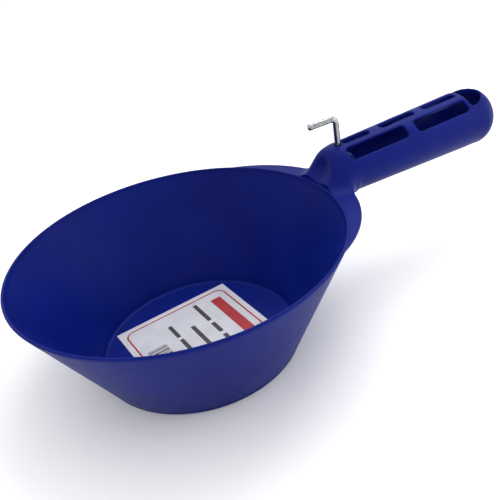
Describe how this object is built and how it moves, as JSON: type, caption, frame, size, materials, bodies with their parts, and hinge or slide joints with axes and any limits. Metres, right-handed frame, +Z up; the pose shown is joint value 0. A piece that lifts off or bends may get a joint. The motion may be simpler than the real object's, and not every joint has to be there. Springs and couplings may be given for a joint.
{
  "type": "feed scoop",
  "caption": "Round tapered plastic feed scoop with a slotted hollow tube handle and a small swivelling wire hanging hook.",
  "frame": {"origin": "centre of the flat round underside of the bowl", "axes": "+Z up out of the bowl's mouth, +X along the handle away from the bowl, +Y across"},
  "size_m": [0.2982, 0.1756, 0.1],
  "materials": {
    "moulding": "satin, royal blue, injection moulded",
    "hook_wire": "zinc plated drawn wire",
    "label": "coated paper sticker"
  },
  "bodies": {
    "scoop": {"scoop_moulding": "moulding", "label": "label"},
    "hook": {"hook": "hook_wire"}
  },
  "joints": [
    {"name": "hook_swivel", "type": "hinge", "parent": "scoop", "child": "hook", "pos_m": [0.1028, 0, 0.075], "axis": [0, 0, 1], "continuous": true}
  ]
}
